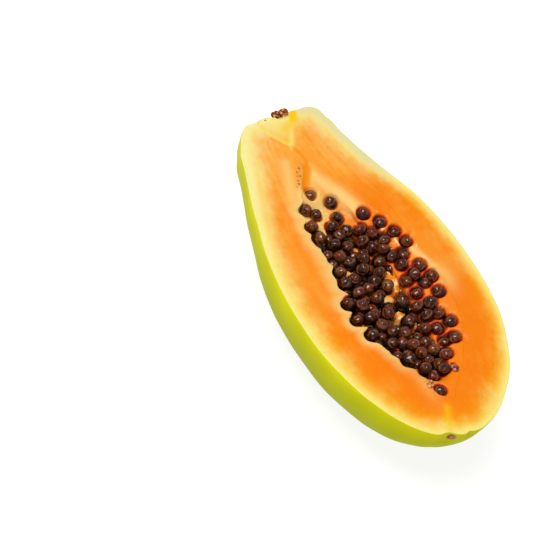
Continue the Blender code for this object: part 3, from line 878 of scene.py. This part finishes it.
# Blotches 20 mm wide lift and lower the green by 3 mm.
blotch = add("TexNoise", values={"Scale": 45.0, "Detail": 3.0}, links={"Vector": place})
swing = {**MOST_OF_NOISE, "To Min": -0.003, "To Max": 0.003}
shift = add("MapRange", values=swing, links={"Value": blotch})
height = add("Math", {"operation": "ADD"}, links={0: axes.outputs["Z"], 1: shift})
share = add("MapRange", values={"From Max": -LYING_ON * MM}, links={"Value": height})
green_and_shade = add("ValToRGB", links={"Fac": share})
# Darker towards the bottom: partly the greener underside, partly painted shade.
RIND_TINTS_WITH_SHADE = [  # share of the fruit's height and the colour there
    (0.0, "#869420"), (0.48, "#a3ab1c"), (0.64, "#b2b718"), (0.81, "#c0c114"), (0.93, "#cdca0e"), (1.0, "#d8d414"),
]
set_ramp(green_and_shade, RIND_TINTS_WITH_SHADE, RIND_GLOSS)
to_the_stem = {"From Min": -0.078, "From Max": -0.044, "To Min": 0.9, "To Max": 0.0}
stem_side = add("MapRange", SMOOTH, values=to_the_stem, links={"Value": axes.outputs["X"]})
seen = as_seen("#d4d046", RIND_GLOSS)
pale = add("Mix", IN_COLOUR, values={OVER: seen}, links={MIX_SHARE: stem_side, UNDER: green_and_shade})
# Brown cork, with a grain a millimetre wide, grows round the stalk and on the blossom scar.
cork = add("Attribute", {"attribute_name": "cork"}).outputs["Fac"]
grain = add("TexNoise", values={"Scale": 800.0, "Detail": 4.0, "Roughness": 0.7}, links={"Vector": place})
cork_there = add("Math", {"operation": "MULTIPLY"}, links={0: cork, 1: grain})
cork_share = add("MapRange", SMOOTH, values={"From Min": 0.22, "From Max": 0.45}, links={"Value": cork_there})
cork_tint = add("ValToRGB", links={"Fac": grain})
set_ramp(cork_tint, [(0.3, "#6e3a20"), (0.5, "#aa6a44"), (0.7, "#deac84")])
corky = add("Mix", IN_COLOUR, links={MIX_SHARE: cork_share, UNDER: pale, OVER: cork_tint})
link(skin, corky, shader.inputs["Base Color"])
pores = add("TexVoronoi", values={"Scale": 700.0}, links={"Vector": place})
bump = add("Bump", values={"Strength": 0.12, "Distance": 0.0003}, links={"Height": pores})
link(skin, bump, shader.inputs["Normal"])
shader.inputs["Roughness"].default_value = 0.5
shader.inputs["Specular IOR Level"].default_value = 0.03
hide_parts("papaya_half")
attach(fruit, "root")

# %% [markdown]
# ## The seeds
#
# The seeds on top have their places. The ones below fill the space down to the wall, first the gaps
# just under the top ones and then the rest. All of them are pushed apart until none cuts deep into
# another. One fine seed and one plain seed are modelled and copied to each place. Every seed on top is
# roughened in its own way, and all of them lean a little to the near side.

# %% Fill the space below and push the seeds apart
def wall_height(along, across):
    """Roughly how far up the wall stands at a place."""
    mean = np.interp(along, *np.array(CAVITY_STATIONS).T)
    off = np.clip(abs(across - float(sway(along))) / np.maximum(mean * 1.05, 1), 0, 1)
    return -DEPTH_SHARE * mean * math.sqrt(1 - off**2)


FILLS = [  # tries, how far below the bed from and to, and how far from the seeds on top and from each other
    (6000, 1.0, 2.6, 3.9, 4.6), (12000, 2.4, 12, 3.6, 4.5),
]
HEAP_STARTS = 57  # from here on the seeds lie in more than one layer
FROM_WALL, FROM_RIM, FROM_BARE_PULP = 0.8, 2.2, 0.6
seeds_at = list(top)
for tries, high_by, low_by, from_top, from_others in FILLS:
    for _ in range(tries):
        x = rng.uniform(38, 138)
        y = rng.uniform(-reach(x, -1) - 2, reach(x, 1)) + float(sway(x))
        z = float(bed(x, y)) - rng.uniform(high_by, low_by)
        place = np.array([x, y, z])
        distance = np.linalg.norm(np.array(seeds_at) - place, axis=1)
        if x < HEAP_STARTS or any(math.hypot(x - a, y - b) < r + FROM_BARE_PULP for a, b, r in BARE_PULP):
            continue
        if distance[: len(top)].min() < from_top or distance[len(top) :].min(initial=99) < from_others:
            continue
        if z < wall_height(x, y) + FROM_WALL or y - FROM_RIM < np.interp(x, rim_along, rim_across):
            continue
        if pulp_stands(np.array([x]), np.array([y]))[0] > 0.45:
            continue
        seeds_at.append(place)

TOUCHING = 1.76 * SEED_RADIUS
PUSH_SHARE, PINNED_SHARE = 0.25, 0.35  # of the overlap, and of that for a seed that has its place
HOMING = np.array([0.15, 0.15, 0.03])  # how fast such a seed comes back to it
seeds_at = np.array(seeds_at)
pinned = np.arange(len(seeds_at)) < len(top)
home = seeds_at.copy()
for _ in range(60):
    gap = seeds_at[:, None] - seeds_at[None]
    distance = np.linalg.norm(gap, axis=2) + np.eye(len(seeds_at)) * 99
    overlap = np.clip(TOUCHING - distance, 0, None)
    push = (gap / distance[..., None] * overlap[..., None]).sum(1) * PUSH_SHARE
    push[pinned, :2] *= PINNED_SHARE
    seeds_at += push
    seeds_at[pinned] += (home[pinned] - seeds_at[pinned]) * HOMING
    seeds_at[:, 2] = np.minimum(seeds_at[:, 2], HIGHEST_SEED)
print("seeds:", len(top), "on top,", len(seeds_at) - len(top), "below")


# %% Model one seed and copy it to each place
SEED_HALF_LENGTH = 3.15


def model_seed(name, segments, rings):
    """A seed in metres, a little narrower at its tip, and how far each point is along it."""
    seed = add_ball(name, segments, rings)
    shape = get_points(seed)
    length = shape[:, 2].copy()
    shape[:, :2] *= (1 - 0.10 * length)[:, None]
    set_points(seed, shape * (np.array([SEED_RADIUS, SEED_RADIUS, SEED_HALF_LENGTH]) * MM))
    bpy.ops.object.shade_smooth()
    return seed, length


fine_seed, fine_length = model_seed("seed_fine", 16, 12)
plain_seed, plain_length = model_seed("seed_plain", 10, 7)
copies, lengths, tones = [], [], []
for i, place in enumerate(seeds_at):
    model, length = (fine_seed, fine_length) if pinned[i] else (plain_seed, plain_length)
    copy = bpy.data.objects.new(f"seed_{i:03d}", model.data.copy())
    if pinned[i]:
        shape = get_points(copy)
        set_points(copy, shape * (1 + 0.13 * lumps(shape / MM, 2.0, 60 + i, 3))[:, None])
    tilt = Vector((rng.gauss(0.3, 0.4), rng.gauss(-0.45, 0.4), 1)).normalized()
    spin = Vector((0, 0, 1)).rotation_difference(tilt).to_matrix().to_4x4()
    size = Matrix.Diagonal((rng.uniform(0.80, 1.02), rng.uniform(0.88, 1.06), rng.uniform(0.92, 1.08), 1))
    copy.data.transform(Matrix.Translation(Vector(to_frame(place))) @ spin @ size)
    bpy.context.scene.collection.objects.link(copy)
    copies.append(copy)
    lengths.append(length)
    tones.append(np.full(len(length), rng.random()))
deselect()
for copy in copies:
    copy.select_set(True)
bpy.context.view_layer.objects.active = copies[0]
bpy.ops.object.join()
seeds = copies[0]
seeds.name = seeds.data.name = "papaya_seeds"
write_value(seeds, "seed_length", np.concatenate(lengths))
write_value(seeds, "seed_tone", np.concatenate(tones))
for model in (fine_seed, plain_seed):
    bpy.data.objects.remove(model)
print("seed faces:", len(seeds.data.polygons))

# %% [markdown]
# ## Seed coat
#
# Each seed is black-brown and wrinkled under a thin clear film of jelly, and some seeds are browner than others.
# Painted shade makes its furrows and its sides nearly black, painted light makes its ridges red-brown,
# and a painted reflection of the film lies as a pale ring round the tip. The film gives all of it a soft, wet sheen.

# %% Finish the seeds
seed_coat = bpy.data.materials.new("papaya_seed_coat_wet")
seeds.data.materials.append(seed_coat)
shader, add = fresh(seed_coat)
place = add("TexCoord").outputs["Object"]
tone, length = [  # the length is 1 at the tip and 0 at the middle
    add("Attribute", {"attribute_name": name}).outputs["Fac"] for name in ("seed_tone", "seed_length")
]
body = add("ValToRGB", links={"Fac": tone})
set_ramp(body, [(0.0, "#2a0a02"), (0.5, "#521804"), (0.8, "#6c2606"), (0.95, "#80420e"), (1.0, "#8c541a")])

# Wrinkles a millimetre wide, on the same noise as the bump: painted shade darkens the furrows where the noise is
# low, and painted light makes the ridges red-brown where it is high.
wrinkle = add("TexNoise", values={"Scale": 850.0, "Detail": 4.0, "Roughness": 0.6}, links={"Vector": place})
furrow_shade, ridge_light, side = [
    add("MapRange", SMOOTH, values={"From Min": start, "From Max": end, "To Max": most}, links={"Value": source})
    for start, end, most, source in ((0.36, 0.52, 1, wrinkle), (0.51, 0.66, 0.65, wrinkle), (0.1, 0.8, 1, length))
]
crease_shaded = add("Mix", IN_COLOUR, values={UNDER: colour("#180301")}, links={MIX_SHARE: furrow_shade, OVER: body})
ridge_lit = add("Mix", IN_COLOUR, values={OVER: colour("#a0501c")}, links={MIX_SHARE: ridge_light, UNDER: crease_shaded})
# Painted shade: each seed's sides and underside, away from its tip, are darkened nearly to black.
shaded = add("Mix", IN_COLOUR, values={UNDER: colour("#220501")}, links={MIX_SHARE: side, OVER: ridge_lit})
# Painted reflection: a pale, broken ring round each seed's tip, where the clear film catches the light.
ring = add("ValToRGB", links={"Fac": length})
SHEEN_RING = [(0, "#000000"), (0.34, "#101010"), (0.46, "#c8c8c8"), (0.54, "#e0e0e0"), (0.66, "#202020")]
set_ramp(ring, SHEEN_RING + [(0.9, "#000000")])
ring_gaps = add("TexNoise", values={"Scale": 520.0}, links={"Vector": place})
broken = add("MapRange", values={"From Min": 0.4, "From Max": 0.6}, links={"Value": ring_gaps})
sheen_ring_there = add("Math", {"operation": "MULTIPLY"}, links={0: ring, 1: broken})
film = add("Mix", IN_COLOUR, values={OVER: colour("#a4683a")}, links={MIX_SHARE: sheen_ring_there, UNDER: shaded})
link(seed_coat, film, shader.inputs["Base Color"])
bump = add("Bump", values={"Strength": 0.9, "Distance": 0.0009}, links={"Height": wrinkle})
link(seed_coat, bump, shader.inputs["Normal"])
shader.inputs["Roughness"].default_value = 0.55
shader.inputs["Specular IOR Level"].default_value = 0.08
shader.inputs["Coat Weight"].default_value = 1.0
shader.inputs["Coat Roughness"].default_value = 0.1
shader.inputs["Coat IOR"].default_value = 1.5
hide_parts("seeds")
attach(seeds, "root")

# %% [markdown]
# ## Scraps of seed skin
#
# Two seeds near the blossom end came loose. One left its clear skin, a small pale ring, and the other
# a crumpled red-brown scrap. A torus and a ball, squashed and torn, are enough for things 4 mm wide.

# %% A ring and a scrap of skin
SKIN_RING_AT, SKIN_SCRAP_AT = (135.3, -5.3, 0.1), (131.8, 9.0, -0.5)
deselect()
bpy.ops.mesh.primitive_torus_add(
    major_segments=36, minor_segments=10, major_radius=1.25 * MM, minor_radius=0.42 * MM
)
skin_ring = bpy.context.object
skin_ring.name = skin_ring.data.name = "seed_skin_ring"
ring_points = get_points(skin_ring) / MM * [1.25, 0.85, 0.8]
ring_points *= (1 + 0.15 * lumps(ring_points, 1.2, 41))[:, None]
turn = np.array(Matrix.Rotation(math.radians(-25), 3, "Z"))
set_points(skin_ring, to_frame(ring_points @ turn.T + SKIN_RING_AT))
bpy.ops.object.shade_smooth()
scrap = add_ball("seed_skin_scrap", 24, 16)
scrap_points = get_points(scrap) * [2.2, 1.5, 0.9]
scrap_points *= (1 + 0.45 * lumps(scrap_points, 1.3, 42, 3))[:, None]
set_points(scrap, to_frame(scrap_points + SKIN_SCRAP_AT))
bpy.ops.object.shade_smooth()
for piece, inner_tint, outer_tint in ((skin_ring, "#8e4c26", "#e8b07a"), (scrap, "#3c0c06", "#b85428")):
    skin = bpy.data.materials.new("papaya_" + piece.name)
    piece.data.materials.append(skin)
    shader, add = fresh(skin)
    place = add("TexCoord").outputs["Object"]
    blotch = add("TexNoise", values={"Scale": 900.0}, links={"Vector": place})
    tint = add("ValToRGB", links={"Fac": blotch})
    set_ramp(tint, [(0.42, inner_tint), (0.58, outer_tint)])
    link(skin, tint, shader.inputs["Base Color"])
    bump = add("Bump", values={"Strength": 0.4, "Distance": 0.0003}, links={"Height": blotch})
    link(skin, bump, shader.inputs["Normal"])
    shader.inputs["Roughness"].default_value = 0.25
    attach(piece, "root")
print("scraps of skin: 2")

# %% [markdown]
# ## The dried stem
#
# Where the stalk broke off, a ring of woody tissue is left round a hollow. The knife went through it,
# so two ragged lumps show with a notch between them. It is a whole ball sent to a turned outline, with
# its upper half pressed flat as the knife left it, and then torn by noise.

# %% Turn the stem, press its upper half flat and tear it
STEM_STATIONS = [
    (2.6, 0.0), (2.0, 0.6), (1.4, 1.1), (-0.3, 1.7), (-0.8, 2.5), (-0.5, 3.5), (0.5, 4.0), (1.8, 3.6), (3.0, 2.6),
    (3.6, 0.0),
]
STEM_ACROSS, STEM_RINGS = 3.2, 60
stem = add_ball("papaya_stem", 48, STEM_RINGS, tipped=True)
ball_points = get_points(stem)
angle = np.arctan2(ball_points[:, 2], ball_points[:, 1])
along, radius = at_share(smooth_line(STEM_STATIONS), share_of_the_way(ball_points, STEM_RINGS))
stem_points = np.column_stack([along, radius * np.cos(angle), radius * np.sin(angle)])
upper = stem_points[:, 2] > 0
stem_points[upper, 2] *= 0.02
# The hidden underside is broken off up to 2.2 mm shorter.
stem_points[:, 0] += 2.2 * np.clip(-np.sin(angle), 0, 1) ** 2 * (1 - smooth_step(along, 0.5, 2.5))
torn = lumps(stem_points, 1.5, 21, 3)
stem_points[:, 0] += 0.9 * torn * (1 - smooth_step(along, 0.6, 2.2))
stem_points[:, 0] = np.maximum(stem_points[:, 0], -1.3)
stem_points[:, 1:] *= (1 + 0.12 * lumps(stem_points, 1.1, 22))[:, None]
splinters = np.clip(0.05 + 0.35 * lumps(stem_points[upper], 0.9, 24), -0.1, 0.4)
stem_points[upper, 2] += splinters * np.clip((radius[upper] - 0.5) / 1.5, 0, 1)
stem_points[:, 1] += STEM_ACROSS
set_points(stem, to_frame(stem_points))
deselect()
stem.select_set(True)
set_mode("EDIT")
bpy.ops.mesh.select_all(action="SELECT")
bpy.ops.mesh.normals_make_consistent(inside=False)
set_mode("OBJECT")
bpy.ops.object.shade_smooth()
write_value(stem, "fresh", smooth_step(stem_points[:, 0] + 0.4 * lumps(stem_points, 1.2, 23), 2.6, 3.4))
write_value(stem, "bark", 1 - smooth_step(stem_points[:, 2], -0.4, 0.0))
print("stem:", len(stem.data.polygons), "faces")

# %% [markdown]
# ## Dry stem wood
#
# The broken wood is fibrous: tan to orange where it is torn, dark brown where it has dried.

# %% Finish the stem
wood = bpy.data.materials.new("dry_stem_wood")
stem.data.materials.append(wood)
shader, add = fresh(wood)
place = add("TexCoord").outputs["Object"]
fibres = add("Mapping", values={"Scale": (700.0, 1000.0, 1000.0)}, links={"Vector": place})
grain = add("TexNoise", values={"Scale": 1.0, "Detail": 4.0, "Roughness": 0.65}, links={"Vector": fibres})
bark, new_wood = [add("Attribute", {"attribute_name": name}).outputs["Fac"] for name in ("bark", "fresh")]
mixed = add("Math", {"operation": "MULTIPLY_ADD"}, values={1: -0.2}, links={0: bark, 2: grain})
tint = add("ValToRGB", links={"Fac": mixed})
set_ramp(tint, [(0.12, "#241009"), (0.42, "#3e1a0c"), (0.5, "#7a3a18"), (0.56, "#cc7c34"), (0.66, "#f0b468")])
seen = as_seen("#f6dc84", 0.02, LIGHT_ON_CUT)
mended = add("Mix", IN_COLOUR, values={OVER: seen}, links={MIX_SHARE: new_wood, UNDER: tint})
link(wood, mended, shader.inputs["Base Color"])
bump = add("Bump", values={"Strength": 0.7, "Distance": 0.0006}, links={"Height": grain})
link(wood, bump, shader.inputs["Normal"])
shader.inputs["Roughness"].default_value = 0.8
shader.inputs["Specular IOR Level"].default_value = 0.2
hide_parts("stem_stub")
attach(stem, "root")

# %% [markdown]
# ## The floor and the light
#
# The fruit lies on a plain white light table, which glows a little and so keeps the shadow faint.
# One soft box hangs above it in a white room.

# %% Floor, lights and sky
deselect()
bpy.ops.mesh.primitive_plane_add(size=6, location=(0, 0, 0))
floor = bpy.context.object
floor.name = "floor"
table_top = bpy.data.materials.new("white_opal_glass")  # lit from below, it glows a little
floor.data.materials.append(table_top)
shader, _ = fresh(table_top)
shader.inputs["Base Color"].default_value = colour("#8c8c8c")
shader.inputs["Emission Color"].default_value = colour("#ffffff")
shader.inputs["Emission Strength"].default_value = 0.85
shader.inputs["Roughness"].default_value = 0.9
shader.inputs["Specular IOR Level"].default_value = 0.1

TO_SOFTBOX = Vector((-0.10, -0.34, 0.93)).normalized()
softbox_data = bpy.data.lights.new("softbox", "AREA")
softbox_data.shape = "DISK"
softbox_data.size = 0.75
softbox_data.energy = 13.6
softbox = bpy.data.objects.new("softbox", softbox_data)
bpy.context.scene.collection.objects.link(softbox)
softbox.location = middle + TO_SOFTBOX * 1.2
softbox.rotation_euler = TO_SOFTBOX.to_track_quat("Z", "Y").to_euler()
world = bpy.data.worlds.new("white_room")
bpy.context.scene.world = world
world.use_nodes = True
sky = world.node_tree.nodes["Background"]
sky.inputs["Color"].default_value = (1, 1, 1, 1)
sky.inputs["Strength"].default_value = 0.32
print("floor, soft box and sky are in place")

# %% [markdown]
# ## Finish
#
# The view layer is brought up to date.

# %% Finish
bpy.context.view_layer.update()
